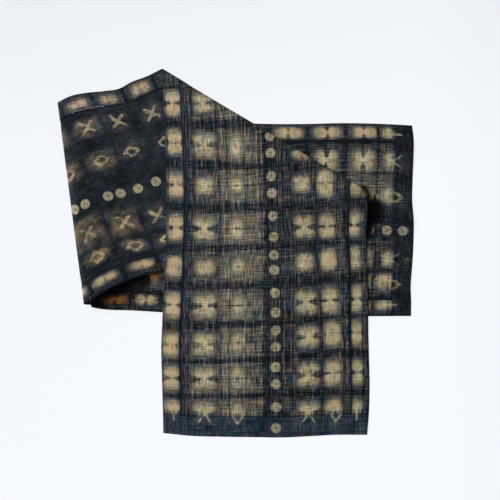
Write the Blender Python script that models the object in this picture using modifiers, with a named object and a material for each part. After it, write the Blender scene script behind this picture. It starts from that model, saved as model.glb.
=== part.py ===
"""Folded shibori-dyed runner: one hemmed strip of hand-woven cloth, 0.36 m wide and 1.55 m long.

The strip lies on a flat surface in three runs joined by two folds. The lower run goes from a
hemmed end at the right to a loose loop at the left. The middle run comes back over it, rising
towards the back. A diagonal fold then turns the strip, and the front run lies on top and points
to the front, with its hemmed end on the surface. +X is right, +Y is back and +Z is up.

The cloth is worked out from rails, lines along the strip that run side by side from one hemmed
end to the other. A point on a rail has a place across the strip, from 0 at the lower edge to 1
at the upper edge, and a stage along it: a run or a loop.
"""

import math

import bmesh
import bpy
import numpy as np

MM = 0.001

# Driving sizes of the cloth, in millimetres
CLOTH_WIDTH = 360.0
HEM_WIDTH = 32.0
HEM_STEP = 3.0
SINGLE_THICKNESS = 1.2
HEM_THICKNESS = 2.0
LAYER_GAP = 1.0

# Middle of the whole folded cloth seen from above, which becomes the part's origin
MIDDLE = (1.5, -1.5)

# Corners of the lying strip seen from above: (x, y) at its lower edge and at its upper edge
RIGHT_END = ((316.4, -114.8), (317.8, 228.1))
LEFT_CREASE = ((-270.6, -93.0), (-318.4, 267.0))
DIAGONAL_CREASE = ((233.8, 108.5), (-132.5, 328.7))
FRONT_END = ((238.1, -328.6), (-129.4, -325.0))

# Loops: how deep and how high the bend is at the lower and at the upper edge of the strip, over
# what length the cloth comes down from it, and how far a rail moves along the crease for each
# millimetre across it, on the way in and on the way out
LEFT_LOOP = {
    "crease": LEFT_CREASE,
    "depth": (12.0, 8.0),
    "height": (25.0, 15.0),
    "descent": (135.0, 70.0),
    "slant": (0.18, 0.22),
}
DIAGONAL_LOOP = {
    "crease": DIAGONAL_CREASE,
    "depth": (8.0, 1.7),
    "height": (16.0, 2.8),
    "descent": (85.0, 22.0),
    "slant": (-0.78, -0.61),
}

# How far each edge stands out from a straight line, in millimetres: (share of the run, outwards)
RIGHT_RUN_LOWER_EDGE = (
    (0.0, 0.0), (0.13, 3.0), (0.45, 6.5), (0.76, 9.0), (0.89, 7.4), (0.95, 7.6), (0.975, 6.5),
    (1.0, 4.0),
)
RIGHT_RUN_UPPER_EDGE = (
    (0.0, 0.0), (0.07, -0.2), (0.19, -3.0), (0.32, -9.5), (0.45, -13.5), (0.62, -10.5),
    (0.80, -5.0), (1.0, 0.0),
)
MIDDLE_RUN_LOWER_EDGE = (
    (0.0, 0.0), (0.05, -6.0), (0.12, -8.5), (0.18, -8.5), (0.27, -1.5), (0.40, 0.0), (1.0, 0.0),
)
MIDDLE_RUN_UPPER_EDGE = (
    (0.0, 0.5), (0.10, 3.0), (0.28, 0.0), (0.42, -6.0), (0.55, -9.8), (0.70, -5.0),
    (0.85, -3.8), (1.0, 0.0),
)
FRONT_RUN_LOWER_EDGE = (
    (0.0, 0.0), (0.20, -1.0), (0.35, 1.5), (0.50, 2.0), (0.65, 3.2), (0.78, 4.0), (0.90, 3.0),
    (1.0, -0.5),
)
FRONT_RUN_UPPER_EDGE = (
    (0.0, 0.0), (0.07, -2.0), (0.20, -6.0), (0.36, -7.5), (0.52, -4.5), (0.65, -0.5),
    (0.77, 3.0), (0.85, 2.0), (0.95, 0.5), (1.0, 0.0),
)

# How far each hemmed end stands out from a straight line: (share across the strip, outwards)
RIGHT_END_EDGE = (
    (0.0, 0.0), (0.07, 0.2), (0.16, -1.0), (0.23, 0.9), (0.36, 3.6), (0.52, 3.6), (0.60, 1.4),
    (0.70, 1.8), (0.83, 3.0), (0.94, 3.2), (1.0, 0.5),
)
FRONT_END_EDGE = (
    (0.0, 0.0), (0.17, 0.8), (0.27, 3.2), (0.43, 6.4), (0.53, 6.2), (0.70, 6.0), (0.88, 4.6),
    (0.97, 1.4), (1.0, 0.5),
)
END_EDGE_REACH = 120.0

# Soft ridges in the lying cloth, in millimetres: start, end, half width and height
RIGHT_RUN_RIDGES = (
    ((252.0, 168.0), (322.0, 176.0), 24.0, 2.6),
    ((252.0, 44.0), (322.0, 58.0), 22.0, 2.8),
    ((256.0, -46.0), (322.0, -66.0), 18.0, 1.8),
)
MIDDLE_RUN_RIDGES = (
    ((-232.0, 286.0), (-206.0, 150.0), 26.0, 4.5),
    ((-176.0, 180.0), (-160.0, 40.0), 20.0, 2.0),
)
FRONT_RUN_RIDGES = (
    ((-122.0, 150.0), (40.0, 162.0), 20.0, 1.8),
    ((60.0, 96.0), (232.0, 66.0), 22.0, 2.4),
    ((-122.0, 4.0), (90.0, 18.0), 18.0, 1.6),
    ((120.0, -40.0), (236.0, -34.0), 20.0, 1.8),
    ((-130.0, -176.0), (-10.0, -168.0), 20.0, 1.8),
    ((150.0, -236.0), (238.0, -232.0), 20.0, 1.6),
)

# Where one layer passes over the edge of the layer below it, which lifts it a little, and then
# comes down beside it
EDGE_LIFT = 1.0
EDGE_LIFT_REACH = 14.0
EDGE_CLEARANCE = 6.0
STEP_DOWN = 27.0
REST_CLEARANCE = 0.2

# How finely the solid is divided, and how much closer together the rows are near a loop
BODY_COLUMNS = 18
RIGHT_RUN_ROWS = 22
LEFT_LOOP_ROWS = 11
MIDDLE_RUN_ROWS = 26
DIAGONAL_LOOP_ROWS = 9
FRONT_RUN_ROWS = 34
CLOSER_ROWS = 1.35
EDGE_SAMPLES = 80


def smooth(share):
    """0 below 0, 1 above 1, with a soft S between them."""
    s = np.clip(share, 0.0, 1.0)
    return s * s * (3.0 - 2.0 * s)


def curve(table, share):
    """A soft curve through the (share, value) rows of a table."""
    at, value = np.array(table).T
    slope = np.gradient(value, at)
    share = np.clip(share, at[0], at[-1])
    k = np.clip(np.searchsorted(at, share, side="right") - 1, 0, len(at) - 2)
    span = at[k + 1] - at[k]
    f = (share - at[k]) / span
    start = (1.0 + 2.0 * f) * (1.0 - f) ** 2 * value[k] + f * (1.0 - f) ** 2 * span * slope[k]
    end = f * f * (3.0 - 2.0 * f) * value[k + 1] - f * f * (1.0 - f) * span * slope[k + 1]
    return start + end


def across(pair, g):
    """The value at share g across the strip, from its values at the lower and the upper edge."""
    lower, upper = np.array(pair[0], float), np.array(pair[1], float)
    return np.multiply.outer(1.0 - g, lower) + np.multiply.outer(g, upper)


def unit(vector):
    return vector / np.linalg.norm(vector, axis=-1, keepdims=True)


def turned(vector):
    """The vector a quarter turn to the left."""
    return np.stack([-vector[..., 1], vector[..., 0]], axis=-1)


def ridge_height(ridges, plan):
    """Height that the soft ridges of a run add at the points of plan."""
    total = np.zeros(len(plan))
    for start, end, half_width, height in ridges:
        start, end = np.array(start), np.array(end)
        along = (plan - start) @ (end - start) / np.dot(end - start, end - start)
        nearest = start + np.outer(np.clip(along, 0.0, 1.0), end - start)
        distance = np.linalg.norm(plan - nearest, axis=1)
        total += height * np.exp(-((distance / half_width) ** 2))
    return total


def loop_point(loop, outwards, angle, g):
    """Plan and height at an angle from 0, where the loop leaves the run below, to pi on top."""
    crease = across(loop["crease"], g)
    lower, upper = np.array(loop["crease"])
    depth = across(loop["depth"], g)
    slant = loop["slant"][0 if angle < math.pi / 2 else 1]
    arc = (angle - math.pi / 2) * (depth + across(loop["height"], g) / 2) / 2
    inwards = -outwards * (depth * (1.0 - math.sin(angle)))[:, None]
    sideways = unit(upper - lower) * (arc * slant)[:, None]
    lift = across(loop["height"], g) * (1.0 - math.cos(angle)) / 2
    return crease + inwards + sideways, lift


def outwards_of(loop, side):
    lower, upper = np.array(loop["crease"])
    return side * turned(unit(upper - lower))


LEFT_OUT = outwards_of(LEFT_LOOP, 1.0)
DIAGONAL_OUT = outwards_of(DIAGONAL_LOOP, -1.0)


def run_point(start, end, share, edges, upper_side, g):
    """Plan in a run at a share of its length, with the uneven edges of the cloth.

    upper_side is 1 where the upper edge is on the left of someone who walks from start to end,
    and -1 where it is on the right.
    """
    plan = start + (end - start) * share[:, None]
    to_upper = upper_side * turned(unit(end - start))
    lower_edge, upper_edge = edges
    shift = curve(upper_edge, share) * g - curve(lower_edge, share) * (1.0 - g)
    return plan + to_upper * shift[:, None]


def right_run_edge_y(place, x):
    """y at x of the right run's lower edge, where place is 0, or upper edge, where it is 1."""
    g = np.full(EDGE_SAMPLES, place)
    end, _ = loop_point(LEFT_LOOP, LEFT_OUT, 0.0, g)
    edges = (RIGHT_RUN_LOWER_EDGE, RIGHT_RUN_UPPER_EDGE)
    share = np.linspace(1.0, 0.0, EDGE_SAMPLES)
    plan = run_point(across(RIGHT_END, g), end, share, edges, -1.0, g)
    return np.interp(x, plan[:, 0], plan[:, 1])


def lift_over(beyond):
    """Extra height of a layer near the edge below it, from how far points lie beyond it."""
    return EDGE_LIFT * np.exp(-((beyond / EDGE_LIFT_REACH) ** 2))


def fallen(beyond):
    """Share of the way down that a layer has come, from how far points lie beyond the edge."""
    return smooth((beyond - EDGE_CLEARANCE) / STEP_DOWN)


def middle_rest(plan):
    """Height of the middle run's upper face where it lies at rest on what is below it."""
    on_cloth = 2 * HEM_THICKNESS + LAYER_GAP
    on_surface = HEM_THICKNESS + REST_CLEARANCE
    beyond = plan[:, 1] - right_run_edge_y(1.0, plan[:, 0])
    return on_cloth + (on_surface - on_cloth) * fallen(beyond) + lift_over(beyond)


def front_rest(plan):
    """Height of the front run's lower face where it lies at rest on what is below it."""
    on_middle = middle_rest(plan) + LAYER_GAP
    on_right = HEM_THICKNESS + LAYER_GAP
    lower, upper = np.array(LEFT_CREASE[0]), np.array(DIAGONAL_CREASE[0])
    past_middle = (plan - lower) @ -turned(unit(upper - lower))
    height = on_middle + (on_right - on_middle) * fallen(past_middle) + lift_over(past_middle)
    past_right = right_run_edge_y(0.0, plan[:, 0]) - plan[:, 1]
    return height * (1.0 - fallen(past_right)) + lift_over(past_right)


def end_shift(table, g, distance):
    """How far the cloth near a hemmed end is moved by that end's uneven edge."""
    return curve(table, g) * (1.0 - smooth(distance / END_EDGE_REACH))


def right_run(share, g):
    """Lower run, from the hemmed right end to the left loop: (plan, height)."""
    start = across(RIGHT_END, g)
    end, _ = loop_point(LEFT_LOOP, LEFT_OUT, 0.0, g)
    edges = (RIGHT_RUN_LOWER_EDGE, RIGHT_RUN_UPPER_EDGE)
    plan = run_point(start, end, share, edges, -1.0, g)
    length = np.linalg.norm(end - start, axis=1)
    outwards = unit(start - end)
    plan = plan + outwards * end_shift(RIGHT_END_EDGE, g, share * length)[:, None]
    return plan, ridge_height(RIGHT_RUN_RIDGES, plan)


def middle_run(share, g):
    """Run from the top of the left loop to the foot of the diagonal loop."""
    start, _ = loop_point(LEFT_LOOP, LEFT_OUT, math.pi, g)
    end, _ = loop_point(DIAGONAL_LOOP, DIAGONAL_OUT, 0.0, g)
    edges = (MIDDLE_RUN_LOWER_EDGE, MIDDLE_RUN_UPPER_EDGE)
    plan = run_point(start, end, share, edges, 1.0, g)
    travelled = share * np.linalg.norm(end - start, axis=1)
    rest = middle_rest(plan)
    falling = 1.0 - smooth(travelled / across(LEFT_LOOP["descent"], g))
    height = rest + (across(LEFT_LOOP["height"], g) - rest) * falling
    return plan, height + ridge_height(MIDDLE_RUN_RIDGES, plan) * smooth(share * 6.0)


def front_run(share, g):
    """Run from the top of the diagonal loop to the hemmed front end."""
    start, _ = loop_point(DIAGONAL_LOOP, DIAGONAL_OUT, math.pi, g)
    end = across(FRONT_END, g)
    edges = (FRONT_RUN_LOWER_EDGE, FRONT_RUN_UPPER_EDGE)
    plan = run_point(start, end, share, edges, -1.0, g)
    length = np.linalg.norm(end - start, axis=1)
    outwards = unit(end - start)
    plan = plan + outwards * end_shift(FRONT_END_EDGE, g, (1.0 - share) * length)[:, None]
    inside = (start - plan) @ DIAGONAL_OUT
    falling = 1.0 - smooth(inside / across(DIAGONAL_LOOP["descent"], g))
    rest = front_rest(plan)
    top = middle_rest(start) + across(DIAGONAL_LOOP["height"], g)
    return plan, rest + (top - rest) * falling + ridge_height(FRONT_RUN_RIDGES, plan)


def left_loop(angle, g):
    return loop_point(LEFT_LOOP, LEFT_OUT, angle, g)


def diagonal_loop(angle, g):
    plan, lift = loop_point(DIAGONAL_LOOP, DIAGONAL_OUT, angle, g)
    foot, _ = loop_point(DIAGONAL_LOOP, DIAGONAL_OUT, 0.0, g)
    return plan, middle_rest(foot) + lift


def columns():
    """Places across the strip, with a step at the inner side of each long hem."""
    hem = [0.0, HEM_WIDTH / 2, HEM_WIDTH]
    body = np.linspace(HEM_WIDTH + HEM_STEP, CLOTH_WIDTH - HEM_WIDTH - HEM_STEP, BODY_COLUMNS)
    return np.array([*hem, *body, *(CLOTH_WIDTH - w for w in reversed(hem))]) / CLOTH_WIDTH


def end_rows(length):
    """Shares of a run's length at the rows of the hem across its end."""
    return [d / length for d in (0.0, HEM_WIDTH / 2, HEM_WIDTH, HEM_WIDTH + HEM_STEP)]


def cloth_rows(g):
    """Every row across the strip in order: (plan, height, whether it is in an end hem)."""
    ones = np.ones_like(g)
    found = []
    start = across(RIGHT_END, g)
    end, _ = loop_point(LEFT_LOOP, LEFT_OUT, 0.0, g)
    hem = end_rows(np.linalg.norm(end - start, axis=1))
    found += [(*right_run(share * ones, g), k < 3) for k, share in enumerate(hem)]
    for t in np.linspace(0.0, 1.0, RIGHT_RUN_ROWS)[1:]:
        found.append((*right_run(hem[-1] + (1.0 - hem[-1]) * t, g), False))
    for angle in np.linspace(0.0, math.pi, LEFT_LOOP_ROWS)[1:]:
        found.append((*left_loop(angle, g), False))
    for t in np.linspace(0.0, 1.0, MIDDLE_RUN_ROWS)[1:] ** CLOSER_ROWS:
        found.append((*middle_run(t * ones, g), False))
    for angle in np.linspace(0.0, math.pi, DIAGONAL_LOOP_ROWS)[1:]:
        found.append((*diagonal_loop(angle, g), False))
    start, _ = loop_point(DIAGONAL_LOOP, DIAGONAL_OUT, math.pi, g)
    hem = end_rows(np.linalg.norm(across(FRONT_END, g) - start, axis=1))
    for t in np.linspace(0.0, 1.0, FRONT_RUN_ROWS)[1:] ** CLOSER_ROWS:
        found.append((*front_run(t * (1.0 - hem[-1]), g), False))
    found += [(*front_run(1.0 - share * ones, g), True) for share in reversed(hem[:-1])]
    return found


def grid_mesh(rows, g):
    """A grid whose points are moved to the rows of the cloth, facing up in the right run."""
    mesh = bpy.data.meshes.new("cloth")
    grid = bmesh.new()
    bmesh.ops.create_grid(grid, x_segments=len(g) - 1, y_segments=len(rows) - 1, size=0.5)
    order = sorted(grid.verts, key=lambda v: (round(v.co.y, 5), round(v.co.x, 5)))
    for k, vertex in enumerate(order):
        plan, height, _ = rows[k // len(g)]
        column = k % len(g)
        vertex.co = (plan[column, 0] * MM, plan[column, 1] * MM, height[column] * MM)
        vertex.index = k
    grid.verts.sort()
    grid.to_mesh(mesh)
    grid.free()
    return mesh


def cloth_material():
    material = bpy.data.materials.new("indigo_dyed_cloth")
    material.use_nodes = True
    shader = material.node_tree.nodes["Principled BSDF"]
    shader.inputs["Base Color"].default_value = (0.045, 0.055, 0.065, 1.0)
    shader.inputs["Roughness"].default_value = 0.92
    shader.inputs["Metallic"].default_value = 0.0
    return material


def make_cloth(collection):
    """The whole cloth as one sheet, thicker in its hems."""
    g = columns()
    rows = cloth_rows(g)
    cloth = bpy.data.objects.new("cloth", grid_mesh(rows, g))
    collection.objects.link(cloth)
    cloth.data.materials.append(cloth_material())
    hems = cloth.vertex_groups.new(name="hems")
    edge = HEM_WIDTH / CLOTH_WIDTH + 1e-6
    for i, (_, _, in_end_hem) in enumerate(rows):
        for j, place in enumerate(g):
            if in_end_hem or place < edge or place > 1.0 - edge:
                hems.add([i * len(g) + j], 1.0, "REPLACE")
    sheet = cloth.modifiers.new("thickness", "SOLIDIFY")
    sheet.thickness = HEM_THICKNESS * MM
    sheet.offset = 1.0
    sheet.vertex_group = "hems"
    sheet.thickness_vertex_group = SINGLE_THICKNESS / HEM_THICKNESS
    cloth.data.shade_smooth()
    cloth.location = (-MIDDLE[0] * MM, -MIDDLE[1] * MM, 0.0)
    return cloth


def main():
    for obj in list(bpy.data.objects):
        bpy.data.objects.remove(obj, do_unlink=True)
    collection = bpy.data.collections.new("folded_shibori_cloth")
    bpy.context.scene.collection.children.link(collection)
    make_cloth(collection)


main()
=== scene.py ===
"""Looks of the folded shibori-dyed runner: its fine cloth, its dyed pattern and its sewing.

The cloth is worked out from rails, lines along the strip that run side by side from one hemmed
end to the other, in the same places as the solid's. Every point of it knows how far along the
strip and how far across it lies, in millimetres, and the dye follows from that. Shade and a
highlight are painted into the colour at the folds as well.
"""

import math

import bpy
import numpy as np
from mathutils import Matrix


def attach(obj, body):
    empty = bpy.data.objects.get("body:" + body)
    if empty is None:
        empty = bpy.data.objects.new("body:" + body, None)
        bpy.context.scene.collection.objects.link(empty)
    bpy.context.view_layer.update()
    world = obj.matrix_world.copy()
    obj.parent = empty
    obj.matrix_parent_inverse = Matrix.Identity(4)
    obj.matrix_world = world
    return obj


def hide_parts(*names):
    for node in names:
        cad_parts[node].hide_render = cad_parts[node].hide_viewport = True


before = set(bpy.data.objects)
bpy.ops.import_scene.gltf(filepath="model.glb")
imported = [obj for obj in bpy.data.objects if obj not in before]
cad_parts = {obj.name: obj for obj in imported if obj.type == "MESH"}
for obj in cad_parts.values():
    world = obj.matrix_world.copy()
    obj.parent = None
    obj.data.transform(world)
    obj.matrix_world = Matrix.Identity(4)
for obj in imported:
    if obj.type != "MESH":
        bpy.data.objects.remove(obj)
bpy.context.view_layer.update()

MM = 0.001

# Driving sizes of the cloth, in millimetres
CLOTH_WIDTH = 360.0
CLOTH_LENGTH = 1550.0
SIDE_HEM = 32.0
RIGHT_HEM = 33.5
FRONT_HEM = 36.0
SINGLE_THICKNESS = 1.2
HEM_THICKNESS = 2.0
EDGE_THICKNESS = 0.9
EDGE_ROUNDING = 2.2
HEM_SLOPE = 24.0
END_HEM_STEP = 1.6
SIDE_HEM_STEP = 1.4
LAYER_GAP = 1.0

# Middle of the whole folded cloth seen from above, which is the frame's origin
MIDDLE = (1.5, -1.5)

# Corners of the lying strip seen from above: (x, y) at its lower edge and at its upper edge
RIGHT_END = ((316.4, -114.8), (317.8, 228.1))
LEFT_CREASE = ((-270.6, -93.0), (-318.4, 267.0))
DIAGONAL_CREASE = ((233.8, 108.5), (-132.5, 328.7))
FRONT_END = ((238.1, -328.6), (-129.4, -325.0))

# Loops: how deep and how high the bend is at the lower and at the upper edge of the strip, over
# what length the cloth comes down from it, and how far a rail moves along the crease for each
# millimetre across it, on the way in and on the way out, and on which side of its crease it bends
LEFT_LOOP = {
    "crease": LEFT_CREASE,
    "depth": (12.0, 8.0),
    "height": (25.0, 15.0),
    "descent": (135.0, 70.0),
    "slant": (0.18, 0.22),
    "side": 1.0,
}
DIAGONAL_LOOP = {
    "crease": DIAGONAL_CREASE,
    "depth": (8.0, 1.7),
    "height": (16.0, 2.8),
    "descent": (85.0, 22.0),
    "slant": (-0.78, -0.61),
    "side": -1.0,
}

# How far the lower and the upper edge of each run stand out from a straight line, in millimetres:
# (share of the run, outwards)
RIGHT_RUN_EDGES = (
    (
        (0.0, 0.0), (0.13, 3.0), (0.45, 6.5), (0.76, 9.0), (0.89, 7.4), (0.95, 7.6), (0.975, 6.5),
        (1.0, 4.0),
    ),
    (
        (0.0, 0.0), (0.07, -0.2), (0.19, -3.0), (0.32, -9.5), (0.45, -13.5), (0.62, -10.5),
        (0.80, -5.0), (1.0, 0.0),
    ),
)
MIDDLE_RUN_EDGES = (
    (
        (0.0, 0.0), (0.05, -6.0), (0.12, -8.5), (0.18, -8.5), (0.27, -1.5), (0.40, 0.0), (1.0, 0.0),
    ),
    (
        (0.0, 0.5), (0.10, 3.0), (0.28, 0.0), (0.42, -6.0), (0.55, -9.8), (0.70, -5.0),
        (0.85, -3.8), (1.0, 0.0),
    ),
)
FRONT_RUN_EDGES = (
    (
        (0.0, 0.0), (0.20, -1.0), (0.35, 1.5), (0.50, 2.0), (0.65, 3.2), (0.78, 4.0), (0.90, 3.0),
        (1.0, -0.5),
    ),
    (
        (0.0, 0.0), (0.07, -2.0), (0.20, -6.0), (0.36, -7.5), (0.52, -4.5), (0.65, -0.5),
        (0.77, 3.0), (0.85, 2.0), (0.95, 0.5), (1.0, 0.0),
    ),
)

# How far each hemmed end stands out from a straight line: (share across the strip, outwards)
RIGHT_END_EDGE = (
    (0.0, 0.0), (0.07, 0.2), (0.16, -1.0), (0.23, 0.9), (0.36, 3.6), (0.52, 3.6), (0.60, 1.4),
    (0.70, 1.8), (0.83, 3.0), (0.94, 3.2), (1.0, 0.5),
)
FRONT_END_EDGE = (
    (0.0, 0.0), (0.17, 0.8), (0.27, 3.2), (0.43, 6.4), (0.53, 6.2), (0.70, 6.0), (0.88, 4.6),
    (0.97, 1.4), (1.0, 0.5),
)
END_EDGE_REACH = 120.0

# Soft ridges in the lying cloth, in millimetres: start, end, half width and height
RIGHT_RUN_RIDGES = (
    ((252.0, 168.0), (322.0, 176.0), 24.0, 2.6),
    ((252.0, 44.0), (322.0, 58.0), 22.0, 2.8),
    ((256.0, -46.0), (322.0, -66.0), 18.0, 1.8),
)
MIDDLE_RUN_RIDGES = (
    ((-232.0, 286.0), (-206.0, 150.0), 26.0, 4.5),
    ((-176.0, 180.0), (-160.0, 40.0), 20.0, 2.0),
)
FRONT_RUN_RIDGES = (
    ((-122.0, 150.0), (40.0, 162.0), 20.0, 1.8),
    ((60.0, 96.0), (232.0, 66.0), 22.0, 2.4),
    ((-122.0, 4.0), (90.0, 18.0), 18.0, 1.6),
    ((120.0, -40.0), (236.0, -34.0), 20.0, 1.8),
    ((-130.0, -176.0), (-10.0, -168.0), 20.0, 1.8),
    ((150.0, -236.0), (238.0, -232.0), 20.0, 1.6),
)

# Where one layer passes over the edge of the layer below it, which lifts it a little, and then
# comes down beside it
EDGE_LIFT = 1.0
EDGE_LIFT_REACH = 14.0
EDGE_CLEARANCE = 6.0
STEP_DOWN = 27.0
REST_CLEARANCE = 0.2
EDGE_SAMPLES = 80

# Places on the lowest run darkened with painted deep shade beside a raised fold, and places
# tinted brown with painted half shade: start, end, radius, softness and depth
PAINTED_SHADE_PLACES = (
    ((226.0, 74.0), (246.0, 72.0), 14.0, 14.0, 0.85),
    ((229.0, 108.0), (235.0, 38.0), 6.0, 11.0, 0.75),
    ((-268.0, -78.0), (-205.0, -66.0), 5.0, 7.0, 1.0),
    ((-212.0, -64.0), (-166.0, -50.0), 9.0, 9.0, 1.0),
)
PAINTED_HALF_SHADE_PLACES = (
    ((231.0, 104.0), (234.0, 40.0), 6.0, 10.0, 1.0),
    ((-254.0, -84.0), (-196.0, -78.0), 12.0, 10.0, 1.0),
    ((-166.0, -46.0), (-150.0, -40.0), 10.0, 9.0, 1.0),
    ((-185.0, -84.0), (-150.0, -84.0), 12.0, 12.0, 0.3),
)
# Reach along the strip of the painted highlight on the left fold and of the painted shade on the
# diagonal crease, in millimetres
LEFT_FOLD_HIGHLIGHT_WIDTH = 9.0
CREASE_SHADE_WIDTH = 4.0

# Sewing thread along the hems: its stitches, how far its lines lie from the edge of the hem and
# start from the edges of the cloth, how they waver, and where along the strip they are pale
STITCH_PITCH = 2.25
STITCH_LENGTH = 1.5
STITCH_WIDTH = 0.55
PALE_WIDTH = 2.0
STITCH_HEIGHT = 0.22
STITCH_DEPTH = 0.15
STITCH_INSET = 1.6
STITCH_START = 6.0
SEAM_WAVES = ((0.35, 0.31), (0.25, 1.7))
PALE_STITCHES = (687.0, 747.0)

# Lamp place, and the pale floor: how much it gives off, its half size, where its far part starts
# to rise and by how much, and how far it lies below the cloth, all in metres
LAMP = (-1.5, 1.0, 1.5)
FLOOR_GLOW = 0.86
FLOOR_LINES = 141
FLOOR_REACH = 20.0
FLOOR_LEVEL_REACH = 8.0
FLOOR_RISE = 2.2
FLOOR_DROP = 0.0002
LAMP_SIZE = 0.7
LAMP_ENERGY = 44.0

# How finely the cloth is divided
BODY_COLUMNS = 78
RIGHT_RUN_ROWS = 110
LEFT_LOOP_ROWS = 22
MIDDLE_RUN_ROWS = 92
DIAGONAL_LOOP_ROWS = 18
FRONT_RUN_ROWS = 125
CLOSER_ROWS = 1.2

# Rows of tied marks, in millimetres from the right end: middle of the row near the upper and near
# the lower edge, middle of its two dots, half the distance between them, how much of the undyed
# halo shows on the crisp side, how dark the folded line through the row is, and half the length
# of its bars and of its crosses
MARK_ROWS = (
    (38, 40, 34, 14, 0.2, 0.5, 20, 15),
    (91.5, 92, 94, 15, 0.2, 0.6, 22, 20.5),
    (159.5, 160, 162, 15, 0.2, 1, 25, 20.5),
    (231, 231, 231, 16, 0.2, 0.8, 25, 20.5),
    (303, 303, 303, 15, 0.3, 0.6, 21.5, 20.5),
    (380, 380, 380, 15, 0.2, 0.6, 21.5, 20.5),
    (459, 463, 459, 16, 0.3, 0.7, 16, 20.5),
    (519, 519, 519, 14, 0.2, 0.8, 21.5, 20.5),
    (578, 578, 578, 13, 0.3, 0.6, 21.5, 20.5),
    (638, 638, 640.3, 10.7, 1, 0.5, 21.5, 20.5),
    (703, 706, 705.4, 11.4, 0.8, 0.4, 19, 20.5),
    (760, 764, 766.2, 17.2, 0.4, 0.6, 14, 20.5),
    (823, 828, 829, 15, 0.3, 0.6, 17.5, 20),
    (882, 888, 888, 15, 0.2, 0.6, 21.5, 20.5),
    (941, 951, 948, 14, 0.2, 1, 21.5, 16),
    (1017.4, 1041, 1026.5, 15.1, 0.2, 0.5, 21.5, 20.5),
    (1092, 1101.5, 1097.9, 15.3, 0.2, 0.6, 22, 14.5),
    (1170.4, 1178.5, 1172.8, 18.7, 0.2, 1, 21.5, 20),
    (1240.5, 1240, 1237.2, 13.4, 0.2, 0.1, 17.5, 14.5),
    (1311.3, 1311.2, 1309, 17.4, 0.2, 1, 21.5, 20.5),
    (1382.5, 1373.5, 1373.4, 15.2, 0.2, 0.4, 21.5, 19.5),
    (1445.2, 1441.3, 1439.4, 15.2, 0.2, 0.9, 21.5, 20.5),
    (1509, 1509, 1514.4, 18.7, 0.2, 0.6, 21.5, 20.5),
)
ROW_PITCH = 70.0
ROW_HALF = 27.0
DOT_PITCH = 40.0
DOT_HALF = 10.5

# Middles of the columns of marks, in millimetres from the lower edge, and how far the columns
# drift across the strip on the way along it, which they do only inside the side hems
LOWER_BAR, LOWER_DIAMOND, LOWER_CROSS, DOTS = 21.0, 66.0, 108.0, 165.0
UPPER_CROSS, UPPER_DIAMOND, UPPER_BAR = 288.0, 230.0, 341.0
DOTS_DRIFT = (
    (0, -4.5), (500, -1), (620, 1), (700, -4.5), (750, -4), (800, 0), (1000, 5), (1230, 3),
    (1340, -2), (1550, -3.5),
)
UPPER_DRIFT = (
    (0, 2), (200, 3), (600, 6), (700, 7.5), (760, 8), (825, 3), (940, 0), (1090, 2), (1170, 4.5),
    (1242, 1), (1311, -1), (1381, -2.5), (1450, -1),
)
LOWER_DRIFT = (
    (0, -1), (500, 0), (600, 4), (638, 4), (707, -2), (768, -7), (900, 0), (1101, 7.5),
    (1176, 4.5), (1245, 4.5), (1311, 2.5), (1374, -2.3), (1550, -3),
)
MARKS_EDGE = 36.0
MARKS_BLEND = 12.0
COLUMN_BLEND = 20.0

# How far the sewn lines of the side hems drift, and how far in the ground drifts with them
LOWER_HEM_DRIFT = ((0, 0), (1100, 3), (1165, 3.5), (1240, 0), (1340, -1), (1490, -7))
UPPER_HEM_DRIFT = ((0, 0), (880, -4), (971, -4.5), (1200, 0), (1486, 5))
HEM_DRIFT_EDGE = 42.0
HEM_DRIFT_BLEND = 14.0
OUTER_BLEND = 18.0

# Lightness of the ground between the marks on the blurred side: (place across, level)
GROUND_COLUMNS = (
    (0, 0.06), (4, 0.20), (16, 0.15), (31, 0.13), (34, 0.05), (37, 0.05), (41, 0.26), (50, 0.25),
    (56, 0.18), (91, 0.15), (130, 0.17), (138, 0.20), (156, 0.14), (173, 0.14), (176, 0.07),
    (182, 0.09), (186, 0.31), (198, 0.37), (228, 0.41), (256, 0.38), (267, 0.24), (272, 0.30),
    (304, 0.30), (309, 0.22), (322, 0.21), (325, 0.06), (328, 0.05), (331, 0.18), (350, 0.18),
    (356, 0.19), (360, 0.06),
)

# Colours of the dye from the darkest level to the lightest: (level, screen colour)
DYE_COLOURS = (
    (0.0, (13, 18, 23)), (0.09, (28, 35, 41)), (0.18, (42, 49, 54)), (0.27, (64, 64, 64)),
    (0.38, (90, 85, 79)), (0.52, (119, 113, 99)), (0.64, (144, 136, 112)),
    (0.76, (170, 159, 127)), (0.90, (196, 182, 146)), (1.0, (214, 199, 161)),
)

# Colour to which the dye goes in the bars, and tints by which it is multiplied: the first three go
# from one to the other at random
WARM_COLOUR = (203, 172, 131)
THREAD_TINTS = ((234, 254, 276), (278, 254, 234))
RED_TINTS = ((196, 260, 258), (288, 253, 256))
BLUE_TINTS = ((258, 254, 216), (252, 257, 300))
# The stain tint below also browns the diagonal crease as painted shade; the brown and the deep tint
# are painted half shade and painted deep shade
STAIN_AND_CREASE_SHADE_TINT = (276, 251, 224)
HEM_TINT = (226, 258, 268)
PAINTED_HALF_SHADE_TINT = (170, 124, 88)
PAINTED_SHADE_TINT = (195, 188, 182)

# Pitch of the relief of the weave, and colours of the dark and of the pale sewing thread
WEAVE_PITCH = 1.3
THREAD_COLOURS = ((40, 46, 52), (240, 245, 243))

# The camera looks straight down from above the middle of the photo
PHOTO_PIXELS = 500.0
PHOTO_PIXEL = 1.8
PHOTO_MIDDLE = (26.6, 4.0)
CAMERA_HEIGHT = 2.0
SENSOR = 36.0


def smooth(share):
    """0 below 0, 1 above 1, with a soft S between them."""
    s = np.clip(share, 0.0, 1.0)
    return s * s * (3.0 - 2.0 * s)


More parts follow.
